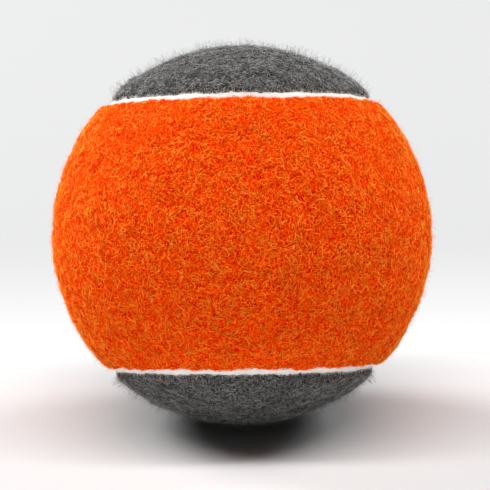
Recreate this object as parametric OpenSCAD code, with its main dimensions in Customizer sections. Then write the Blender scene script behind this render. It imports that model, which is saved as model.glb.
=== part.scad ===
/* [Ball] */
// Diameter over the nap
ball_d = 67; // [62:0.5:72]
// Angle that the ball has rolled back by, so that the orange waist looks up
lie_tilt = 14; // [0:1:40]
// Depth that the nap is pressed flat by where the ball lies
rest_depth = 0.4; // [0.2:0.05:0.8]

/* [Felt panels] */
// Thickness of the nap
nap_t = 2.6; // [2.2:0.1:3.4]
// Thickness of the woven scrim that the nap is needled through
scrim_t = 0.5; // [0.3:0.1:0.8]
// Radius that a panel's edge is rounded over with
shoulder_r = 0.6; // [0.4:0.1:1.4]

/* [Seam] */
// Width of the gap between the panels, at the top of the seam rubber
seam_w = 2.2; // [1.4:0.1:3.2]
// Depth of the seam rubber's edge below the foot of the rounded nap
seam_step = 0.1; // [0.05:0.05:0.3]
// Depth that the middle of the seam rubber has sunk by
seam_dish = 0.2; // [0.1:0.05:0.4]

/* [Core] */
// Thickness of the two rubber cups
core_wall = 3.4; // [2.6:0.1:4.4]
// Thickness of the rubber cement over the core
coat_t = 0.2; // [0.1:0.05:0.4]
// Thickness of the rubber cement between the two rims
joint_t = 0.3; // [0.1:0.05:0.6]
// Radius of the cement bead that the rims squeeze into the cavity
joint_bead_r = 0.6; // [0.4:0.1:1]

/* [Hidden] */
$fn = 160;

// Radii of the layers, from the nap inwards
ball_r = ball_d / 2;
nap_in_r = ball_r - nap_t;
scrim_in_r = nap_in_r - scrim_t;
core_r = scrim_in_r - coat_t;
cavity_r = core_r - core_wall;

// The seam is four half circles on the ball. Each lies this far round the
// ball from its pole, so the four join into one smooth line.
quarter_turn = 90;
half_turn = 180;
seam_polar = 45;
seam_top_r = ball_r - shoulder_r - seam_step;
seam_half = asin(seam_w / 2 / seam_top_r);
panel_polar = seam_polar - seam_half;

// The dished top of the seam rubber is an arc over its straight chord
seam_chord_r = seam_top_r * cos(seam_half);
dish_r = (pow(seam_w / 2, 2) + pow(seam_dish, 2)) / (2 * seam_dish);
dish_middle_r = seam_chord_r - seam_dish + dish_r;

// The rounded edge of the nap is an arc that runs a little past the nap's
// face and edge, and is trimmed by them
shoulder_in_r = ball_r - shoulder_r;
shoulder_angle = asin(shoulder_r / shoulder_in_r);
shoulder_foot_r = shoulder_in_r * cos(shoulder_angle);
shoulder_over_share = 1.02;

orange_rgb = [0.96, 0.35, 0.03];
grey_rgb = [0.36, 0.37, 0.36];
seam_rgb = [0.94, 0.92, 0.88];
scrim_rgb = [0.86, 0.82, 0.72];
core_rgb = [0.16, 0.16, 0.17];
cement_rgb = [0.78, 0.66, 0.42];

// Point in a section, at a radius and a polar angle from the section's +Y
function polar(r, angle) = [r * sin(angle), r * cos(angle)];

// Pie slice of a section, long enough to cover a disc of radius r
module wedge(r, from, to) {
    steps = 4;
    reach = 2 * r;
    polygon(concat(
        [[0, 0]],
        [for (i = [0:steps]) polar(reach, from + i * (to - from) / steps)]
    ));
}

// Whole ring in a section
module ring(r_in, r_out) {
    difference() {
        circle(r_out);
        circle(r_in);
    }
}

// Part of a ring in a section, between two polar angles
module ring_slice(r_in, r_out, from, to) {
    intersection() {
        ring(r_in, r_out);
        wedge(r_out, from, to);
    }
}

// Section of a panel's nap, straight across from edge to edge
module nap_section() {
    shoulder_polar = panel_polar - shoulder_angle;
    intersection() {
        ring_slice(nap_in_r, ball_r, -panel_polar, panel_polar);
        union() {
            circle(shoulder_foot_r);
            wedge(ball_r, -shoulder_polar, shoulder_polar);
            for (side = [-1, 1])
                translate(polar(shoulder_in_r, side * shoulder_polar))
                    circle(shoulder_r * shoulder_over_share);
        }
    }
}

// Section of a panel's scrim, straight across from edge to edge
module scrim_section() {
    ring_slice(scrim_in_r, nap_in_r, -panel_polar, panel_polar);
}

// Turns a section half way round the upright axis, on the -Y side
module half_waist() {
    rotate([0, 0, half_turn]) rotate_extrude(angle = half_turn) children();
}

// Turns a section half way round the X axis, on the +Y side
module half_lobe() {
    rotate([0, quarter_turn, 0]) rotate_extrude(angle = half_turn) children();
}

// One dog-bone panel in the ball's own frame: a waist across the front, and
// a lobe round each end of the X axis, all three of the same section
module dog_bone() {
    half_waist() rotate([0, 0, -quarter_turn]) children();
    for (end = [0, 1])
        mirror([end, 0, 0]) half_lobe() intersection() {
            children();
            square(ball_d);
        }
}

// The other panel is the same one, turned to fill what the first leaves
module other_panel() {
    rotate(a = half_turn, v = [1, 0, 1]) children();
}

// Lays the ball's own frame down on the surface it rests on
module lie() {
    translate([0, 0, ball_r - rest_depth]) rotate([-lie_tilt, 0, 0]) children();
}

// Takes off what would reach below the surface that the ball rests on
module pressed_flat() {
    difference() {
        children();
        translate([0, 0, -ball_d / 2]) cube(ball_d, center = true);
    }
}

// Section of the seam rubber, from the cement up to its dished top
module seam_section() {
    difference() {
        ring_slice(scrim_in_r, dish_middle_r, seam_polar - seam_half, seam_polar + seam_half);
        translate(polar(dish_middle_r, seam_polar)) circle(dish_r);
    }
}

// Section of one rubber cup, above the cement between the rims
module cup_section() {
    intersection() {
        ring(cavity_r, core_r);
        translate([0, joint_t / 2]) square(core_r);
    }
}

module core_upper_half() {
    color(core_rgb) lie() rotate_extrude() cup_section();
}

module core_lower_half() {
    color(core_rgb) lie() mirror([0, 0, 1]) rotate_extrude() cup_section();
}

module core_joint_cement() {
    color(cement_rgb) lie() rotate_extrude() {
        intersection() {
            ring(cavity_r, core_r);
            translate([0, -joint_t / 2]) square([core_r, joint_t]);
        }
        intersection() {
            circle(cavity_r);
            translate([cavity_r, 0]) circle(joint_bead_r);
        }
    }
}

module core_cement_coat() {
    color(cement_rgb) lie() difference() {
        sphere(scrim_in_r);
        sphere(core_r);
    }
}

module orange_panel_scrim() {
    color(scrim_rgb) lie() dog_bone() scrim_section();
}

module orange_panel_nap() {
    color(orange_rgb) lie() dog_bone() nap_section();
}

module grey_panel_scrim() {
    color(scrim_rgb) lie() other_panel() dog_bone() scrim_section();
}

module grey_panel_nap() {
    color(grey_rgb) pressed_flat() lie() other_panel() dog_bone() nap_section();
}

// Four half rings that meet end to end in one closed line
module seam_bead() {
    color(seam_rgb) lie() {
        half_waist() seam_section();
        mirror([0, 0, 1]) half_waist() seam_section();
        half_lobe() seam_section();
        mirror([1, 0, 0]) half_lobe() seam_section();
    }
}

core_upper_half();
core_lower_half();
core_joint_cement();
core_cement_coat();
orange_panel_scrim();
orange_panel_nap();
grey_panel_scrim();
grey_panel_nap();
seam_bead();
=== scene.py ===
"""Dresses a tennis ball: two felt panels, their fibres and the rubber of the seam between them."""

import math

import bmesh
import bpy
import numpy as np
from bpy.props import FloatProperty, FloatVectorProperty, IntProperty, PointerProperty
from mathutils import Matrix, Vector


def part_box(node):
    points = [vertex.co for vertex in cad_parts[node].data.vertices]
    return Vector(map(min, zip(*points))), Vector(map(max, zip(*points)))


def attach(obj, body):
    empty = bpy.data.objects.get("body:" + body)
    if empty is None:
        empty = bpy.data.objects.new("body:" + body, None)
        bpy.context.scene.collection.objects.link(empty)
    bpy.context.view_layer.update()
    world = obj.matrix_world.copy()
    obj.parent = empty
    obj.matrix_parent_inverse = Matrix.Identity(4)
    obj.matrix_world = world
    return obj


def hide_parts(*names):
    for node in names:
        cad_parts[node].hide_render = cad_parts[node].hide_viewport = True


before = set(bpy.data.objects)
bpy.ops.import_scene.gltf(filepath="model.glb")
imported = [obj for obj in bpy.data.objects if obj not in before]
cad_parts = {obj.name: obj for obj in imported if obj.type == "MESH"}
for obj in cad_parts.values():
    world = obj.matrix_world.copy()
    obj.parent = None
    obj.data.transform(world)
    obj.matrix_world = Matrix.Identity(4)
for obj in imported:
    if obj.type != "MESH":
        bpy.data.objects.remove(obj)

bl_info = {
    "name": "Felt Tennis Ball",
    "version": (1, 0, 0),
    "blender": (4, 5, 0),
    "location": "3D View > Sidebar > Ball",
    "description": "Builds the felt, the fibres and the seam rubber of a two-colour tennis ball",
    "category": "Object",
}


def half_width(node):
    """Half of a node's size along X, which is the radius of a round one."""
    low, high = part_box(node)
    return (high.x - low.x) / 2


def middle(node):
    """The middle of a node's box."""
    low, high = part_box(node)
    return (low + high) / 2


BALL_R = half_width("orange_panel_nap")
NAP_IN_R = half_width("orange_panel_scrim")
COAT_R = half_width("core_cement_coat")
CENTRE = np.array(middle("core_cement_coat"))
FLOOR_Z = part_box("grey_panel_nap")[0].z

# The seam is four half circles, each this far round the ball from its pole
SEAM_TURN = math.radians(45)
# Turns the orange panel into the grey one, in the ball's own frame
OTHER_PANEL = np.array([[0.0, 0.0, 1.0], [0.0, -1.0, 0.0], [1.0, 0.0, 0.0]])


def length(name, description, default):
    """A length that a user can change, in metres."""
    return FloatProperty(
        name=name, description=description, default=default, unit="LENGTH", precision=5
    )


def colour(name, description, default):
    """A colour that a user can change."""
    return FloatVectorProperty(
        name=name, description=description, default=default, subtype="COLOR", min=0, max=1
    )


class BallShape(bpy.types.PropertyGroup):
    """Sizes of the panels and the seam"""

    lie_tilt: FloatProperty(
        name="Lie tilt",
        description="Angle that the ball has rolled back by",
        default=math.radians(14),
        subtype="ANGLE",
    )
    seam_w: length("Seam width", "Gap between the two panels", 0.00203)
    seam_depth: length("Seam depth", "How far the rubber lies below the nap", 0.0006)
    seam_climb: length("Seam climb", "How far the rubber climbs up each panel's edge", 0.0005)
    shoulder: length("Shoulder", "Radius that a panel's edge is rounded over with", 0.0005)
    bulge: length("Bulge", "How far a panel swells just inside its edge", 0.0002)
    bulge_reach: length("Bulge reach", "How far in from its edge a panel swells", 0.004)
    edge_wave: length("Edge wave", "How far a panel's edge wanders", 0.00018)
    orange_lap: length("Orange lap", "How far the orange panel laps over the seam", 0.00045)
    lump: length("Lumps", "Height of the nap's lumps", 0.0001)
    orange_fill: length("Orange fibre depth", "How deep fibres cover the orange felt", 0.0003)
    grey_fill: length("Grey fibre depth", "How deep fibres cover the grey felt", 0.00055)


class BallColours(bpy.types.PropertyGroup):
    """Colours of the felt and the rubber"""

    # Painted shade: the deep orange stands in for the shade in the felt's pits and between its
    # fibres
    orange_shaded: colour("Deep orange", "Orange felt between its fibres", (0.76, 0.002, 0.0))
    orange: colour("Orange", "Most fibres of the orange felt", (1.0, 0.115, 0.0))
    orange_light: colour("Light orange", "Palest fibres of the orange felt", (1.0, 0.63, 0.06))
    # Painted shade: the grey felt between its fibres is near black to stand in for shade
    grey_shaded: colour("Deep grey", "Grey felt between its fibres", (0.011, 0.011, 0.012))
    grey: colour("Grey", "Most fibres of the grey felt", (0.165, 0.162, 0.157))
    grey_light: colour("Light grey", "Palest fibres of the grey felt", (0.58, 0.57, 0.55))
    seam: colour("Seam", "Rubber of the seam", (0.72, 0.7, 0.66))


class BallFibres(bpy.types.PropertyGroup):
    """Sizes and numbers of the fibres"""

    short_count: IntProperty(
        name="Short fibres", description="Short fibres in each layer of a panel", default=25500
    )
    short_length: length("Short length", "Length of a short fibre", 0.00052)
    curly_count: IntProperty(
        name="Curly fibres", description="Curly fibres on top of a panel", default=16500
    )
    curly_length: length("Curly length", "Length of a curly fibre", 0.0017)
    radius: length("Radius", "Radius of a fibre that lies on the felt", 0.000061)
    loose_count: IntProperty(
        name="Loose fibres", description="Fibres that stand out of a panel", default=30000
    )
    loose_length: length("Loose length", "Length of a fibre that stands out", 0.0014)
    loose_radius: length("Loose radius", "Radius of a fibre that stands out", 0.000014)
    loft: length("Loft", "How far loose fibres stand out", 0.00085)
    stray_count: IntProperty(
        name="Stray fibres", description="Orange fibres caught on the grey panel", default=16
    )
    fluff_count: IntProperty(
        name="Seam fluff", description="White fibres along the seam's grey border", default=4000
    )
    fluff_length: length("Fluff length", "Length of a white fibre beside the seam", 0.0002)


class BallStage(bpy.types.PropertyGroup):
    """Floor, lamps and camera"""

    floor: colour("Floor", "Colour of the floor in the light it throws back", (0.85, 0.85, 0.85))
    floor_near: colour("Near floor", "Colour that is seen close by", (0.53, 0.53, 0.53))
    # Painted shade: the floor is seen darker further behind the ball
    floor_far_shade: colour("Far floor", "Colour that is seen far off", (0.393, 0.394, 0.398))
    fade_end: length("Fade end", "How far behind the ball the floor has its far colour", 0.14)
    distance: length("Camera distance", "From the camera to the ball's middle", 0.456)
    elevation: FloatProperty(
        name="Camera elevation",
        description="How far the camera looks down",
        default=math.radians(13.27),
        subtype="ANGLE",
    )
    roll: FloatProperty(
        name="Camera roll",
        description="How far the camera leans sideways",
        default=math.radians(-0.9),
        subtype="ANGLE",
    )


def unit(vectors):
    """The vectors at length one."""
    return vectors / np.maximum(np.linalg.norm(vectors, axis=-1, keepdims=True), 1e-12)


def rough_field(points, wavelength, seed, waves=36):
    """A smooth random value at each point, mostly between -2 and 2, from waves that cross."""
    rng = np.random.default_rng(seed)
    heading = unit(rng.normal(size=(waves, 3))) * rng.uniform(0.7, 1.4, (waves, 1))
    phase = rng.uniform(0, math.tau, waves)
    heights = np.sin(points @ (heading.T * (math.tau / wavelength)) + phase)
    return heights.sum(-1) * math.sqrt(2 / waves)


def mixed_field(points, layers):
    """Rough fields added up. Each layer has its share, its wavelength in metres and its seed."""
    return sum(share * rough_field(points, wavelength, seed) for share, wavelength, seed in layers)


def beside_seam(directions):
    """Where unit directions lie beside the seam.

    Gives the pole of the nearest arc, the direction away from that pole, the angle from it, and
    1 where a larger angle is further into the orange panel or -1 where it is further out."""
    front = directions[..., 1] < 0
    up = np.where(front[..., None], [0.0, 0.0, 1.0], [1.0, 0.0, 0.0])
    pole = up * np.where((directions * up).sum(-1, keepdims=True) < 0, -1.0, 1.0)
    along = (directions * pole).sum(-1, keepdims=True)
    away = unit(directions - along * pole)
    return pole, away, np.arccos(along[..., 0].clip(-1, 1)), np.where(front, 1.0, -1.0)


def on_ball(pole, away, angle, radius=1.0):
    """Points at an angle from their poles, on a unit ball or at a radius."""
    angle = np.asarray(angle)[..., None]
    return (np.cos(angle) * pole + np.sin(angle) * away) * np.asarray(radius)[..., None]


def edge_wave(foot, panel, shape):
    """How far in a panel's edge has wandered at these points of a seam on a unit ball."""
    seed, lap = {"orange": (2557, shape.orange_lap), "grey": (1466, 0)}[panel]
    layers = ((0.8, 0.0068, seed), (0.45, 0.0024, seed + 20), (0.3, 0.0009, seed + 40))
    return -lap + shape.edge_wave * mixed_field(foot * BALL_R, layers)


def lumps(directions, shape):
    """How far the nap stands off the ball at these unit directions, from its lumps."""
    layers = ((0.8, 0.0060, 31), (0.6, 0.0022, 32), (0.45, 0.0011, 33))
    return shape.lump * mixed_field(directions * BALL_R, layers)


def swelling(inset, shape):
    """How far a panel swells this far in from the seam's middle."""
    steepness = 1.5
    from_crest = (inset - shape.seam_w / 2) / shape.bulge_reach - 1
    return shape.bulge * np.exp(-steepness * from_crest**2)


def fill_of(panel, shape):
    """How deep the fibres cover a panel's matted felt."""
    return getattr(shape, f"{panel}_fill")


def nap_place(directions, panel, shape):
    """How far in from its panel's edge each unit direction lies, and the felt's radius there."""
    pole, away, angle, turn = beside_seam(directions)
    side = turn if panel == "orange" else -turn
    foot = on_ball(pole, away, SEAM_TURN)
    inset = (angle - SEAM_TURN) * side * BALL_R
    edge = inset - shape.seam_w / 2 - edge_wave(foot, panel, shape)
    sunk = (1 - edge / shape.shoulder).clip(0, 1)
    drop = shape.shoulder * (1 - np.sqrt(1 - sunk**2))
    return edge, BALL_R - fill_of(panel, shape) + swelling(inset, shape) - drop


def kept_in(directions, overhang, panel, shape):
    """Moves unit directions that reach past a panel's edge back to the overhang."""
    pole, away, angle, turn = beside_seam(directions)
    side = turn if panel == "orange" else -turn
    edge, _ = nap_place(directions, panel, shape)
    push = (-overhang - edge).clip(0)
    return on_ball(pole, away, angle + push * side / BALL_R)


def laid_down(points, shape):
    """Moves points of the ball's own frame to where it lies, and keeps them above the floor."""
    turn = np.array(Matrix.Rotation(-shape.lie_tilt, 3, "X"))
    points = points @ turn.T + CENTRE
    points[..., 2] = np.maximum(points[..., 2], FLOOR_Z)
    return points


def link(name, mesh):
    """A new object of the scene that holds a mesh."""
    piece = bpy.data.objects.new(name, mesh)
    bpy.context.collection.objects.link(piece)
    return piece


def dress(piece, material):
    """Gives a piece its material and the ball's only body."""
    piece.data.materials.clear()
    piece.data.materials.append(material)
    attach(piece, "root")
    return piece


def smooth_mesh(name, bm):
    """A smoothly shaded mesh from a bmesh, which is used up."""
    for face in bm.faces:
        face.smooth = True
    mesh = bpy.data.meshes.new(name)
    bm.to_mesh(mesh)
    bm.free()
    return mesh


def half_of(bm, front):
    """The faces, edges and vertices on one side of the ball's Y plane."""
    side = -1 if front else 1
    near = 1e-6
    faces = [f for f in bm.faces if f.calc_center_median().y * side > 0]
    edges = [e for e in bm.edges if all(v.co.y * side > -near for v in e.verts)]
    verts = [v for v in bm.verts if v.co.y * side > -near]
    return verts + edges + faces


def dog_bone_skin(bm, edge_turn):
    """Cuts a unit ball down to the orange panel, that far in from the seam's middle."""
    bmesh.ops.create_icosphere(bm, subdivisions=6, radius=1)
    bmesh.ops.bisect_plane(
        bm, geom=bm.verts[:] + bm.edges[:] + bm.faces[:], plane_co=(0, 0, 0), plane_no=(0, 1, 0)
    )
    # In front the panel lies between two level planes, and behind outside two upright ones
    waist = math.cos(SEAM_TURN + edge_turn)
    lobe = math.cos(SEAM_TURN - edge_turn)
    for front, axis, reach in ((True, 2, waist), (False, 0, lobe)):
        for side in (-1, 1):
            normal = Vector()
            normal[axis] = side
            bmesh.ops.bisect_plane(
                bm, geom=half_of(bm, front), plane_co=normal * reach, plane_no=normal
            )
    outside = []
    for face in bm.faces:
        centre = face.calc_center_median()
        if centre.y < 0:
            out = abs(centre.z) > waist
        else:
            out = abs(centre.x) < lobe
        if out:
            outside.append(face)
    bmesh.ops.delete(bm, geom=outside, context="FACES")


def panel_mesh(name, panel, shape):
    """One felt panel as a closed shell, with a fine outer skin and a rounded, wandering edge."""
    rim_steps = 8
    fine_cuts = 2
    same_depth = 1e-4
    start = shape.seam_w / 2 + shape.shoulder
    bm = bmesh.new()
    dog_bone_skin(bm, start / BALL_R)
    depth = bm.verts.layers.float.new("depth")
    inner = bm.verts[:]
    bmesh.ops.extrude_face_region(bm, geom=bm.faces[:], use_keep_orig=True)
    for vert in inner:
        vert[depth] = 1
    walls = [e for e in bm.edges if abs(e.verts[0][depth] - e.verts[1][depth]) > same_depth]
    bmesh.ops.subdivide_edges(bm, edges=walls, cuts=rim_steps - 1, use_grid_fill=True)
    # All but the inner skin gets finer, round the panel as well as over its face
    level = [
        e for e in bm.edges
        if abs(e.verts[0][depth] - e.verts[1][depth]) < same_depth
        and e.verts[0][depth] < 1 - same_depth
    ]
    bmesh.ops.subdivide_edges(bm, edges=level, cuts=fine_cuts, use_grid_fill=True)

    directions = unit(np.array([v.co for v in bm.verts], dtype=float))
    down = np.array([v[depth] for v in bm.verts])
    points = panel_points(directions, down, panel, shape, start)
    for vert, point in zip(bm.verts, laid_down(points, shape)):
        vert.co = point
    bm.verts.layers.float.remove(depth)
    bmesh.ops.triangulate(bm, faces=[f for f in bm.faces if len(f.verts) > 4])
    bmesh.ops.recalc_face_normals(bm, faces=bm.faces[:])
    return smooth_mesh(name, bm)


def panel_points(directions, down, panel, shape, start):
    """Places a panel's vertices.

    down is 0 on the outer skin, 1 on the inner one and between on the edge, which starts out
    that far in from the seam's middle."""
    pole, away, angle, turn = beside_seam(directions)
    on_edge = (down > 0.001) & (down < 0.999)
    inset = np.where(on_edge, start, (angle - SEAM_TURN) * turn * BALL_R)

    # The first part of the way down is the rounded shoulder, and the rest a straight wall
    round_share = 0.75
    round_turn = (down / round_share).clip(0, 1) * (math.pi / 2)
    wall_share = ((down - round_share) / (1 - round_share)).clip(0, 1)
    top_r = BALL_R - fill_of(panel, shape)
    wall_top = top_r - shape.shoulder
    radius = top_r - shape.shoulder * (1 - np.cos(round_turn)) - wall_share * (wall_top - NAP_IN_R)

    # What the shoulder and the wandering edge do sideways dies out further in
    round_reach = 3 * shape.shoulder
    wave_reach = 4 * shape.shoulder
    beyond = np.maximum(inset - start, 0)
    if panel == "grey":
        pole, away = pole @ OTHER_PANEL.T, away @ OTHER_PANEL.T
    foot = on_ball(pole, away, SEAM_TURN)
    sideways = shape.shoulder * np.sin(round_turn) * np.exp(-beyond / round_reach)
    wave = edge_wave(foot, panel, shape) * np.exp(-beyond / wave_reach)
    inset = inset - sideways + wave
    surface = on_ball(pole, away, SEAM_TURN + inset * turn / BALL_R)
    raised = (swelling(inset, shape) + lumps(surface, shape)) * (1 - down**2)
    return surface * (radius + raised)[:, None]


def strand_mesh(stations):
    """A straight three-sided strand from z 0 to 1, of radius one, with a point at each end."""
    bm = bmesh.new()
    profile = []
    for number in range(stations):
        at_tip = number in (0, stations - 1)
        place = (0 if at_tip else 1, 0, number / (stations - 1))
        profile += bmesh.ops.create_vert(bm, co=place)["vert"]
    for lower, upper in zip(profile, profile[1:]):
        bm.edges.new((lower, upper))
    bmesh.ops.spin(
        bm, geom=bm.verts[:] + bm.edges[:], cent=(0, 0, 0), axis=(0, 0, 1),
        angle=math.tau, steps=3, use_merge=True,
    )
    bmesh.ops.remove_doubles(bm, verts=bm.verts[:], dist=0.001)
    bmesh.ops.recalc_face_normals(bm, faces=bm.faces[:])
    # Bending a strand along a path mirrors it, which turns these faces outwards again
    bmesh.ops.reverse_faces(bm, faces=bm.faces[:])
    return smooth_mesh("strand", bm)


def copies(mesh, count):
    """One mesh that holds that many copies of a mesh, one after another in the same place."""
    holder = link("copies", mesh)
    array = holder.modifiers.new("Copies", "ARRAY")
    array.count = count
    array.use_relative_offset = False
    bundle = bpy.data.meshes.new_from_object(
        holder.evaluated_get(bpy.context.evaluated_depsgraph_get())
    )
    bpy.data.objects.remove(holder)
    return bundle


def strands(name, paths, radius, tone_and_shade, shape):
    """Bends a bundle of strands along paths and gives each strand its tone_and_shade, with painted
    shade at its ends.

    paths holds one row of points for each strand, in the ball's own frame."""
    count, stations = paths.shape[:2]
    template = strand_mesh(stations)
    straight = np.empty(len(template.vertices) * 3)
    template.vertices.foreach_get("co", straight)
    straight = straight.reshape(-1, 3)
    station = np.rint(straight[:, 2] * (stations - 1)).astype(int)

    ahead = unit(np.gradient(paths, axis=1))
    across = unit(np.cross(ahead, paths))
    upward = np.cross(across, ahead)
    points = (
        paths[:, station]
        + radius[:, None, None] * straight[None, :, :1] * across[:, station]
        + radius[:, None, None] * straight[None, :, 1:2] * upward[:, station]
    )
    mesh = copies(template, count)
    mesh.name = name
    mesh.vertices.foreach_set("co", laid_down(points, shape).ravel())
    # Painted shade: a strand is darker at its ends and a little darker underneath
    to_tip = np.abs(2 * straight[:, 2] - 1)
    painted_shade = (1 - 0.6 * to_tip**2) * (0.85 + 0.17 * straight[:, 1])
    mesh.attributes.new("tone_and_shade", "FLOAT", "POINT").data.foreach_set(
        "value", (tone_and_shade[:, None] * painted_shade).ravel().astype(np.float32)
    )
    mesh.update()
    return link(name, mesh)


def scatter(rng, count, panel, margin, shape):
    """Random unit directions on one panel, at least the margin in from its edge."""
    spots = np.empty((0, 3))
    while len(spots) < count:
        more = unit(rng.normal(size=(count, 3)))
        edge, _ = nap_place(more, panel, shape)
        spots = np.concatenate([spots, more[edge > margin]])
    return spots[:count]


def headings(rng, spots):
    """Two directions along the ball at each spot, at right angles: a fibre's own and its side.

    Fibres that lie close together tend to run the same way."""
    combing = 1.4
    combed = np.stack([rough_field(spots * BALL_R, 0.0036, seed) for seed in (71, 72, 73)], -1)
    ahead = unit(np.cross(spots, rng.normal(size=spots.shape) + combing * combed))
    return ahead, np.cross(spots, ahead)


def patchy(paths, seed):
    """Slow changes of colour over the ball, for the fibres on these paths."""
    places = paths[:, paths.shape[1] // 2]
    return mixed_field(places, ((0.03, 0.0028, seed), (0.02, 0.009, seed + 1)))


def lying_paths(rng, count, panel, shape, stations, long, height, curl):
    """Paths of fibres that lie on a panel, at heights between the two given.

    Seen from above each bows to one side and snakes a little. From the side it is a low arch
    that leans, and close to the seam a few reach past the panel's edge."""
    edge_margin = 0.00002
    mean_overhang = 0.000025
    share = np.linspace(-0.5, 0.5, stations)
    arc = 1 - 4 * share**2
    spots = scatter(rng, count, panel, edge_margin, shape)
    long = long * rng.uniform(0.55, 1.45, count)
    ahead, across = headings(rng, spots)
    bow = rng.normal(0, 0.2 * curl, count)
    snake = rng.normal(0, 0.16 * curl, count)
    sway = bow[:, None] * arc + snake[:, None] * np.sin(math.tau * share)
    directions = unit(
        spots[:, None] * BALL_R
        + (long[:, None] * share)[..., None] * ahead[:, None]
        + (long[:, None] * sway)[..., None] * across[:, None]
    )
    overhang = rng.exponential(mean_overhang, (count, 1))
    directions = kept_in(directions, overhang, panel, shape)
    _, radius = nap_place(directions, panel, shape)
    level = rng.uniform(*height, (count, 1))
    arch = rng.uniform(0.05, 0.13, (count, 1)) * long[:, None] * arc
    lean = rng.normal(0, 0.07, (count, 1)) * long[:, None] * share
    radius = radius + lumps(spots, shape)[:, None] + level + arch + lean
    return directions * radius[..., None]


def loose_paths(rng, count, panel, fibres, shape, loft):
    """Paths of curly fibres that are rooted in a panel and stand out of it.

    Each winds in a loose coil that widens towards its tip, and bends over as it rises."""
    edge_margin = 0.0002
    overhang = 0.0001
    share = np.linspace(0, 1, 3)
    spots = scatter(rng, count, panel, edge_margin, shape)
    long = fibres.loose_length * rng.uniform(0.45, 1.5, count)
    ahead, across = headings(rng, spots)
    turns = rng.uniform(0.3, 1.3, (count, 1)) * share
    coil = turns * math.tau + rng.uniform(0, math.tau, (count, 1))
    wide = (long * rng.uniform(0.04, 0.14, count))[:, None] * share
    run = long[:, None] * share * rng.uniform(0.4, 0.85, (count, 1)) + wide * np.sin(coil)
    sway = wide * np.cos(coil) + (long * rng.normal(0, 0.15, count))[:, None] * share**2
    directions = unit(
        spots[:, None] * BALL_R
        + run[..., None] * ahead[:, None]
        + sway[..., None] * across[:, None]
    )
    directions = kept_in(directions, overhang, panel, shape)
    _, radius = nap_place(directions, panel, shape)
    stand = fill_of(panel, shape) + loft * rng.exponential(0.55, (count, 1)).clip(0, 1.8)
    height = stand * np.sin(share * math.pi * rng.uniform(0.45, 0.95, (count, 1)))
    return directions * (radius + height)[..., None]


def noise_node(nodes, links, scale, detail, roughness=0.6):
    """Noise on object coordinates. scale is in cells a metre."""
    place = nodes.new("ShaderNodeTexCoord")
    noise = nodes.new("ShaderNodeTexNoise")
    noise.inputs["Scale"].default_value = scale
    noise.inputs["Detail"].default_value = detail
    noise.inputs["Roughness"].default_value = roughness
    links.new(place.outputs["Object"], noise.inputs["Vector"])
    return noise


def ramp_node(nodes, stops):
    """A colour ramp with a stop for each position and colour."""
    ramp = nodes.new("ShaderNodeValToRGB")
    while len(ramp.color_ramp.elements) < len(stops):
        ramp.color_ramp.elements.new(0.5)
    for element, (position, rgb) in zip(ramp.color_ramp.elements, stops):
        element.position = position
        element.color = (*rgb, 1)
    return ramp


def mix_node(nodes, first, second):
    """A mix of two colours."""
    mix = nodes.new("ShaderNodeMix")
    mix.data_type = "RGBA"
    mix.inputs["A"].default_value = (*first, 1)
    mix.inputs["B"].default_value = (*second, 1)
    return mix


def base_material(name, roughness, sheen, tint=(1, 1, 1)):
    """A material with its gloss and sheen set, and its nodes, links and shader."""
    material = bpy.data.materials.new(name)
    material.use_nodes = True
    nodes, links = material.node_tree.nodes, material.node_tree.links
    shader = nodes["Principled BSDF"]
    shader.inputs["Roughness"].default_value = roughness
    shader.inputs["Specular IOR Level"].default_value = 0.02
    shader.inputs["Sheen Weight"].default_value = sheen
    shader.inputs["Sheen Roughness"].default_value = 0.3
    shader.inputs["Sheen Tint"].default_value = (*tint, 1)
    return material, nodes, links, shader


def add_bump(nodes, links, shader, height, strength, distance):
    """Lets a height socket raise the surface."""
    bump = nodes.new("ShaderNodeBump")
    bump.inputs["Strength"].default_value = strength
    bump.inputs["Distance"].default_value = distance
    links.new(height, bump.inputs["Height"])
    links.new(bump.outputs["Normal"], shader.inputs["Normal"])


def felt_material(name, deep, main):
    """Matted felt seen between the fibres that lie on it, painted darker in its pits as shade."""
    material, nodes, links, shader = base_material(name, roughness=0.95, sheen=0.05, tint=main)
    pits = noise_node(nodes, links, scale=2600, detail=3)
    # The low places of the bump get the deep colour, which is painted shade in the pits
    ramp = ramp_node(nodes, [(0.42, deep), (0.62, main)])
    links.new(pits.outputs["Fac"], ramp.inputs["Fac"])
    links.new(ramp.outputs["Color"], shader.inputs["Base Color"])
    add_bump(nodes, links, shader, pits.outputs["Fac"], strength=0.9, distance=0.00025)
    return material


def fibre_material(name, deep, main, light):
    """Fibres coloured by the tone_and_shade of each strand, whose deep end is painted shade."""
    material, nodes, links, shader = base_material(name, roughness=0.8, sheen=0.05, tint=light)
    tone_and_shade = nodes.new("ShaderNodeAttribute")
    tone_and_shade.attribute_name = "tone_and_shade"
    # The deep end of the ramp is painted shade for fibres that lie low or dip into the felt
    ramp = ramp_node(nodes, [(0.08, deep), (0.52, main), (1, light)])
    links.new(tone_and_shade.outputs["Fac"], ramp.inputs["Fac"])
    links.new(ramp.outputs["Color"], shader.inputs["Base Color"])
    grain = noise_node(nodes, links, scale=9000, detail=2)
    add_bump(nodes, links, shader, grain.outputs["Fac"], strength=0.3, distance=0.00002)
    return material


def rubber_material(name, low, high, scale, roughness):
    """Rubber or cement with a slightly uneven colour and skin."""
    material, nodes, links, shader = base_material(name, roughness, sheen=0)
    shader.inputs["Specular IOR Level"].default_value = 0.4
    patches = noise_node(nodes, links, scale, detail=5)
    ramp = ramp_node(nodes, [(0.3, low), (0.7, high)])
    links.new(patches.outputs["Fac"], ramp.inputs["Fac"])
    links.new(ramp.outputs["Color"], shader.inputs["Base Color"])
    skin = noise_node(nodes, links, scale * 3, detail=3)
    add_bump(nodes, links, shader, skin.outputs["Fac"], strength=0.5, distance=0.00008)
    return material


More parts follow.
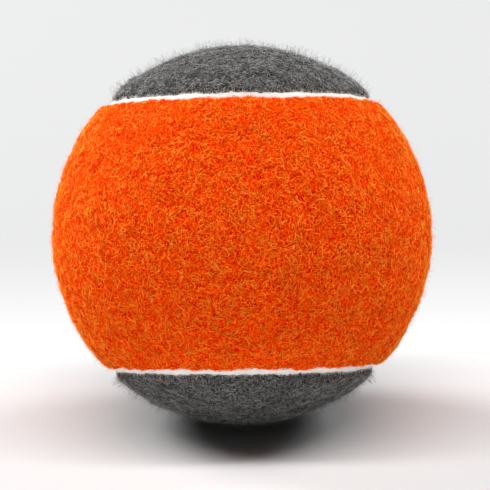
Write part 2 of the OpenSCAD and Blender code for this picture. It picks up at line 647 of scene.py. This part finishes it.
def scrim_material(name):
    """Plain woven cloth."""
    material, nodes, links, shader = base_material(name, roughness=0.9, sheen=0.2)
    place = nodes.new("ShaderNodeTexCoord")
    threads = []
    for direction in ("X", "Z"):
        wave = nodes.new("ShaderNodeTexWave")
        wave.bands_direction = direction
        wave.inputs["Scale"].default_value = 400
        wave.inputs["Distortion"].default_value = 0.6
        links.new(place.outputs["Object"], wave.inputs["Vector"])
        threads.append(wave.outputs["Fac"])
    crossed = nodes.new("ShaderNodeMath")
    crossed.operation = "MAXIMUM"
    links.new(threads[0], crossed.inputs[0])
    links.new(threads[1], crossed.inputs[1])
    ramp = ramp_node(nodes, [(0.2, (0.42, 0.37, 0.26)), (0.9, (0.74, 0.68, 0.53))])
    links.new(crossed.outputs["Value"], ramp.inputs["Fac"])
    links.new(ramp.outputs["Color"], shader.inputs["Base Color"])
    add_bump(nodes, links, shader, crossed.outputs["Value"], strength=0.7, distance=0.0001)
    return material


def panel_colours(panel, colours):
    """The deep, main and light colour of a panel; the deep one is painted shade in the felt's pits
    and under the fibres.
    """
    names = (f"{panel}_shaded", panel, f"{panel}_light")
    return [tuple(getattr(colours, name)) for name in names]


class BALL_OT_felt_panels(bpy.types.Operator):
    """Makes the two interlocking felt panels"""

    bl_idname = "ball.felt_panels"
    bl_label = "Felt Panels"

    def execute(self, context):
        scene = context.scene
        for panel in ("orange", "grey"):
            deep, main, _ = panel_colours(panel, scene.ball_colours)
            mesh = panel_mesh(f"{panel}_felt", panel, scene.ball_shape)
            felt = dress(
                link(f"{panel}_felt", mesh),
                felt_material(f"{panel}_felt", deep, main),
            )
            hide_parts(f"{panel}_panel_nap")
        return {"FINISHED"}


class BALL_OT_lying_fibres(bpy.types.Operator):
    """Lays short and curly fibres over each panel"""

    bl_idname = "ball.lying_fibres"
    bl_label = "Lying Fibres"

    # Name, share of the count, share of the radius, stations, lowest and highest level as
    # shares of the fill, curl and mean tone_and_shade, which rises with the level: painted
    # shade on the deeper layers and painted light on the higher ones
    LAYERS = (
        ("under", 0.7, 1.0, 3, 0.0, 0.3, 1.0, 0.27),
        ("over", 1.0, 1.0, 3, 0.2, 0.55, 1.0, 0.60),
        ("top", 1.0, 1.0, 3, 0.45, 0.8, 1.0, 0.80),
        ("curly", 1.0, 0.42, 4, 0.6, 0.95, 1.1, 0.95),
    )
    TONE_SPREAD = 0.2

    def execute(self, context):
        scene = context.scene
        shape, fibres = scene.ball_shape, scene.ball_fibres
        for number, panel in enumerate(("orange", "grey")):
            material = fibre_material(
                f"{panel}_fibre", *panel_colours(panel, scene.ball_colours)
            )
            for layer, row in enumerate(self.LAYERS):
                name, count_share, radius_share, stations, low, high, curl, shaded_mean_tone = row
                rng = np.random.default_rng(100 + 10 * number + layer)
                curly = name == "curly"
                count = round(count_share * (fibres.curly_count if curly else fibres.short_count))
                long = fibres.curly_length if curly else fibres.short_length
                fill = fill_of(panel, shape)
                height = (low * fill, high * fill)
                paths = lying_paths(rng, count, panel, shape, stations, long, height, curl)
                # The layer's mean is painted shade or painted light by its level, the spread is
                # random
                tone_and_shade = rng.normal(shaded_mean_tone, self.TONE_SPREAD, count) + patchy(paths, 61)
                radius = radius_share * fibres.radius * rng.uniform(0.7, 1.3, count)
                piece = strands(
                    f"{panel}_fibres_{name}", paths, radius, tone_and_shade.clip(0, 1), shape
                )
                dress(piece, material)
        return {"FINISHED"}


def stray_fibres(name, fibres, shape):
    """Orange fibres that have been caught on the grey panel, most of them close to the seam."""
    rng = np.random.default_rng(220)
    count = fibres.stray_count
    tries = 30 * count
    stations = 8
    curl = 2.0
    height = (0.8 * shape.grey_fill, shape.grey_fill)
    paths = lying_paths(rng, tries, "grey", shape, stations, fibres.loose_length, height, curl)
    edge, _ = nap_place(unit(paths[:, stations // 2]), "grey", shape)
    kept = np.argsort(edge + rng.exponential(0.003, len(edge)))[:count]
    radius = fibres.radius * rng.uniform(0.22, 0.36, count)
    return strands(name, paths[kept], radius, rng.uniform(0.9, 1.1, count), shape)


class BALL_OT_loose_fibres(bpy.types.Operator):
    """Makes the fuzz that stands out of each panel, and the orange fibres caught on the grey one
    """

    bl_idname = "ball.loose_fibres"
    bl_label = "Loose Fibres"

    # Panel, share of the count and share of the loft
    PANELS = (("orange", 0.75, 0.65), ("grey", 1.1, 1.15))
    MEAN_TONE = 0.75
    TONE_SPREAD = 0.15

    def execute(self, context):
        scene = context.scene
        shape, fibres = scene.ball_shape, scene.ball_fibres
        for number, (panel, count_share, loft_share) in enumerate(self.PANELS):
            rng = np.random.default_rng(200 + number)
            count = round(fibres.loose_count * count_share)
            paths = loose_paths(rng, count, panel, fibres, shape, fibres.loft * loft_share)
            tone_and_shade = rng.normal(self.MEAN_TONE, self.TONE_SPREAD, count).clip(0, 1)
            radius = fibres.loose_radius * rng.uniform(0.6, 1.3, count)
            piece = strands(f"{panel}_fibres_loose", paths, radius, tone_and_shade, shape)
            dress(piece, bpy.data.materials[f"{panel}_fibre"])
            if panel == "orange":
                piece = stray_fibres("orange_fibres_stray", fibres, shape)
                dress(piece, bpy.data.materials["orange_fibre"])
        return {"FINISHED"}


class BALL_OT_seam_rubber(bpy.types.Operator):
    """Makes the rubber line between the panels"""

    bl_idname = "ball.seam_rubber"
    bl_label = "Seam Rubber"

    def execute(self, context):
        scene = context.scene
        shape = scene.ball_shape
        high = tuple(scene.ball_colours.seam)
        low = tuple(0.86 * c for c in high)
        rubber = rubber_material("seam_rubber", low, high, scale=700, roughness=0.7)
        piece = link("seam_rubber", seam_mesh("seam_rubber", shape))
        dress(piece, rubber)
        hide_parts("seam_bead")
        fluff = seam_fluff("seam_fluff", scene.ball_fibres, shape)
        dress(fluff, rubber)
        return {"FINISHED"}


def seam_fluff(name, fibres, shape):
    """Short white fibres that the rubber has glued to the border of the grey panel."""
    rng = np.random.default_rng(300)
    count = fibres.fluff_count
    pole, away, side = seam_line(rng.uniform(0, 1, count))
    foot = on_ball(pole, away, SEAM_TURN)
    border = shape.seam_w / 2 + edge_wave(foot, "grey", shape)
    long = fibres.fluff_length
    reach = long * rng.exponential(0.6, count).clip(0, 2)
    along = unit(np.cross(foot, away)) * rng.normal(0, 0.6, count)[:, None] * long
    start = on_ball(pole, away, SEAM_TURN - (border - long) * side / BALL_R)
    end = on_ball(pole, away, SEAM_TURN - (border + reach) * side / BALL_R)
    share = np.linspace(0, 1, 3)[None, :, None]
    directions = unit(start[:, None] * (1 - share) + (end + along / BALL_R)[:, None] * share)
    _, felt_r = nap_place(directions, "grey", shape)
    above = shape.grey_fill * rng.uniform(0.1, 0.6, (count, 1))
    radius = np.maximum(felt_r + above, BALL_R - shape.seam_depth)
    thick = fibres.radius * rng.uniform(0.4, 0.7, count)
    return strands(name, directions * radius[..., None], thick, np.ones(count), shape)


def seam_mesh(name, shape):
    """A closed ring of rubber that follows the seam and fills it from edge to edge."""
    sides = 20
    steps = 1400
    hoop_r = 0.25
    upright = Matrix.Translation((1, 0, 0)) @ Matrix.Rotation(math.pi / 2, 4, "X")
    bm = bmesh.new()
    bmesh.ops.create_circle(bm, segments=sides, radius=hoop_r, matrix=upright)
    bmesh.ops.spin(
        bm, geom=bm.verts[:] + bm.edges[:], cent=(0, 0, 0), axis=(0, 0, 1),
        angle=math.tau, steps=steps, use_merge=True,
    )
    bmesh.ops.recalc_face_normals(bm, faces=bm.faces[:])
    # Laying the ring along the seam mirrors it, which turns these faces outwards again
    bmesh.ops.reverse_faces(bm, faces=bm.faces[:])
    ring = np.array([v.co for v in bm.verts], dtype=float)
    share = (np.arctan2(ring[:, 1], ring[:, 0]) / math.tau) % 1
    width = (np.hypot(ring[:, 0], ring[:, 1]) - 1) / hoop_r
    height = ring[:, 2] / hoop_r
    points = seam_points(share, width.clip(-1, 1), height.clip(-1, 1), shape)
    for vert, point in zip(bm.verts, laid_down(points, shape)):
        vert.co = point
    return smooth_mesh(name, bm)


def seam_line(share):
    """The pole, the direction away from it and the side of the orange panel, round the seam."""
    quarter = np.floor(share * 4).astype(int) % 4
    turn = (share * 4 % 1) * math.pi
    c, s, zero = np.cos(turn), np.sin(turn), np.zeros(len(turn))
    poles = np.array([[0, 0, 1], [-1, 0, 0], [0, 0, -1], [1, 0, 0]], dtype=float)
    ways = np.stack([
        np.stack([c, -s, zero], -1),
        np.stack([zero, s, c], -1),
        np.stack([-c, -s, zero], -1),
        np.stack([zero, s, -c], -1),
    ])
    away = ways[quarter, np.arange(len(turn))]
    return poles[quarter], away, np.where(quarter % 2 == 0, 1.0, -1.0)


def seam_points(share, width, height, shape):
    """Places the seam's vertices.

    share runs round the seam, width from -1 at the grey side to 1 at the orange one, and height
    from -1 at the cement to 1 at the top."""
    tuck = 0.0002
    orange_climb = 0.4
    ripple_height = 0.00003
    pole, away, side = seam_line(share)
    foot = on_ball(pole, away, SEAM_TURN)
    to_orange = shape.seam_w / 2 + edge_wave(foot, "orange", shape)
    to_grey = shape.seam_w / 2 + edge_wave(foot, "grey", shape)
    across = np.where(width > 0, width * (to_orange + tuck), width * (to_grey + tuck))
    ragged = 1 + 0.25 * rough_field(foot * BALL_R + np.sign(width)[:, None], 0.0008, 52)
    climb = shape.seam_climb * np.where(width > 0, orange_climb, 1.0)
    top_r = BALL_R - shape.seam_depth + climb * width**4 * ragged
    ripple = ripple_height * rough_field(foot * BALL_R + width[:, None] * 0.001, 0.0016, 51)
    # The power brings the levels closer together towards the top
    share_up = (height * 0.5 + 0.5) ** 0.6
    radius = COAT_R + (top_r + ripple - COAT_R) * share_up
    return on_ball(pole, away, SEAM_TURN + across * side / BALL_R, radius)


class BALL_OT_inner_parts(bpy.types.Operator):
    """Finishes the core, its cement and the scrims"""

    bl_idname = "ball.inner_parts"
    bl_label = "Inner Parts"

    def execute(self, context):
        core = rubber_material(
            "core_rubber", (0.02, 0.02, 0.021), (0.045, 0.045, 0.047), scale=300, roughness=0.6
        )
        cement = rubber_material(
            "rubber_cement", (0.42, 0.28, 0.1), (0.6, 0.44, 0.2), scale=500, roughness=0.45
        )
        scrim = scrim_material("scrim_cloth")
        finishes = {
            "core_upper_half": core,
            "core_lower_half": core,
            "core_joint_cement": cement,
            "core_cement_coat": cement,
            "orange_panel_scrim": scrim,
            "grey_panel_scrim": scrim,
        }
        for node, material in finishes.items():
            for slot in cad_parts[node].material_slots:
                slot.material = material
        return {"FINISHED"}


class BALL_OT_stage(bpy.types.Operator):
    """Sets the floor, the lamps, the world and the camera"""

    bl_idname = "ball.stage"
    bl_label = "Stage"

    def execute(self, context):
        scene = context.scene
        stage = scene.ball_stage
        add_floor(stage)
        add_lamps()
        add_world(scene)
        add_camera(scene, stage)
        scene.view_settings.view_transform = "Standard"
        return {"FINISHED"}


def seen_ray(nodes, links):
    """A socket that is 1 for a ray that shows a surface, straight, in gloss or through glass."""
    ray = nodes.new("ShaderNodeLightPath")
    shows = ray.outputs["Is Camera Ray"]
    for name in ("Is Glossy Ray", "Is Transmission Ray"):
        either = nodes.new("ShaderNodeMath")
        either.operation = "MAXIMUM"
        links.new(shows, either.inputs[0])
        links.new(ray.outputs[name], either.inputs[1])
        shows = either.outputs["Value"]
    return shows


def add_floor(stage):
    """A wide level floor, seen in other colours than the one it throws light back with."""
    half_side = 3
    bm = bmesh.new()
    bmesh.ops.create_grid(bm, x_segments=8, y_segments=8, size=half_side)
    bmesh.ops.translate(bm, verts=bm.verts[:], vec=(0, 0, FLOOR_Z))
    mesh = bpy.data.meshes.new("floor")
    bm.to_mesh(mesh)
    bm.free()
    floor = link("floor", mesh)
    material, nodes, links, shader = base_material("floor", roughness=0.9, sheen=0)
    place = nodes.new("ShaderNodeTexCoord")
    split = nodes.new("ShaderNodeSeparateXYZ")
    distance = nodes.new("ShaderNodeMapRange")
    distance.interpolation_type = "SMOOTHSTEP"
    distance.inputs["From Min"].default_value = 0
    distance.inputs["From Max"].default_value = stage.fade_end
    # Painted shade: the seen colour darkens from near to far behind the ball
    seen = mix_node(nodes, stage.floor_near, stage.floor_far_shade)
    pick = mix_node(nodes, stage.floor, stage.floor_near)
    links.new(place.outputs["Object"], split.inputs["Vector"])
    links.new(split.outputs["Y"], distance.inputs["Value"])
    links.new(distance.outputs["Result"], seen.inputs["Factor"])
    links.new(seen_ray(nodes, links), pick.inputs["Factor"])
    links.new(seen.outputs["Result"], pick.inputs["B"])
    links.new(pick.outputs["Result"], shader.inputs["Base Color"])
    mesh.materials.append(material)


def aim(place, target, roll=0.0):
    """A matrix that stands at a place and looks at a target."""
    look = (Vector(target) - Vector(place)).to_track_quat("-Z", "Y").to_matrix().to_4x4()
    return Matrix.Translation(place) @ look @ Matrix.Rotation(roll, 4, "Z")


def add_lamp(name, place, across, size, power):
    """A soft box of that width and height that shines at the ball's height, that far across."""
    data = bpy.data.lights.new(name, "AREA")
    data.shape = "RECTANGLE"
    data.size, data.size_y = size
    data.energy = power
    lamp = bpy.data.objects.new(name, data)
    lamp.matrix_world = aim(Vector(place), Vector((across, CENTRE[1], CENTRE[2])))
    bpy.context.collection.objects.link(lamp)


def add_lamps():
    """A long bank overhead, a weak low fill in front and a soft box behind each side."""
    add_lamp("key", place=(-0.22, -0.29, 2.2), across=-0.22, size=(3.8, 0.35), power=87.0)
    add_lamp("fill", place=(0, -2.2, 0.1), across=0, size=(3.0, 0.3), power=6.0)
    for side, name, power in ((-1, "back_left", 52.0), (1, "back_right", 30.0)):
        add_lamp(name, place=(side * 1.5, 1.2, 1.1), across=0, size=(0.8, 0.8), power=power)


def add_world(scene):
    """A little plain, even light from all round."""
    world = bpy.data.worlds.new("studio")
    world.use_nodes = True
    background = world.node_tree.nodes["Background"]
    background.inputs["Color"].default_value = (1, 1, 1, 1)
    background.inputs["Strength"].default_value = 0.02
    scene.world = world


def add_camera(scene, stage):
    """The photograph's view, framed for a square picture of 490 pixels."""
    picture = 490
    ball_pixels = 377
    ball_at = (242, 235)
    data = bpy.data.cameras.new("camera")
    data.sensor_width = 36
    pixels_per_metre = ball_pixels / (2 * BALL_R)
    data.lens = data.sensor_width * stage.distance * pixels_per_metre / picture
    data.shift_x = (picture / 2 - ball_at[0]) / picture
    data.shift_y = (ball_at[1] - picture / 2) / picture
    camera = bpy.data.objects.new("camera", data)
    offset = Vector((0, -math.cos(stage.elevation), math.sin(stage.elevation)))
    camera.matrix_world = aim(
        Vector(CENTRE) + offset * stage.distance, Vector(CENTRE), stage.roll
    )
    bpy.context.collection.objects.link(camera)
    scene.camera = camera


class BALL_PT_panel(bpy.types.Panel):
    """Lists the steps that build the ball"""

    bl_label = "Ball"
    bl_idname = "BALL_PT_panel"
    bl_space_type = "VIEW_3D"
    bl_region_type = "UI"
    bl_category = "Ball"

    def draw(self, context):
        for operator in OPERATORS:
            self.layout.operator(operator.bl_idname)
        for name in SETTINGS:
            settings = getattr(context.scene, name)
            for prop in settings.bl_rna.properties:
                if prop.identifier not in ("rna_type", "name"):
                    self.layout.prop(settings, prop.identifier)


SETTINGS = {
    "ball_shape": BallShape,
    "ball_colours": BallColours,
    "ball_fibres": BallFibres,
    "ball_stage": BallStage,
}
OPERATORS = (
    BALL_OT_felt_panels,
    BALL_OT_lying_fibres,
    BALL_OT_loose_fibres,
    BALL_OT_seam_rubber,
    BALL_OT_inner_parts,
    BALL_OT_stage,
)


def register():
    """Adds the settings, the steps and the panel."""
    for cls in (*SETTINGS.values(), *OPERATORS, BALL_PT_panel):
        bpy.utils.register_class(cls)
    for name, cls in SETTINGS.items():
        setattr(bpy.types.Scene, name, PointerProperty(type=cls))


def unregister():
    """Takes away what register added."""
    for name in SETTINGS:
        delattr(bpy.types.Scene, name)
    for cls in reversed((*SETTINGS.values(), *OPERATORS, BALL_PT_panel)):
        bpy.utils.unregister_class(cls)


def main():
    """Builds the ball."""
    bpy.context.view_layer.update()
    register()
    bpy.ops.ball.felt_panels()
    bpy.ops.ball.lying_fibres()
    bpy.ops.ball.loose_fibres()
    bpy.ops.ball.seam_rubber()
    bpy.ops.ball.inner_parts()
    bpy.ops.ball.stage()
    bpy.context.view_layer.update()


if __name__ == "__main__":
    main()
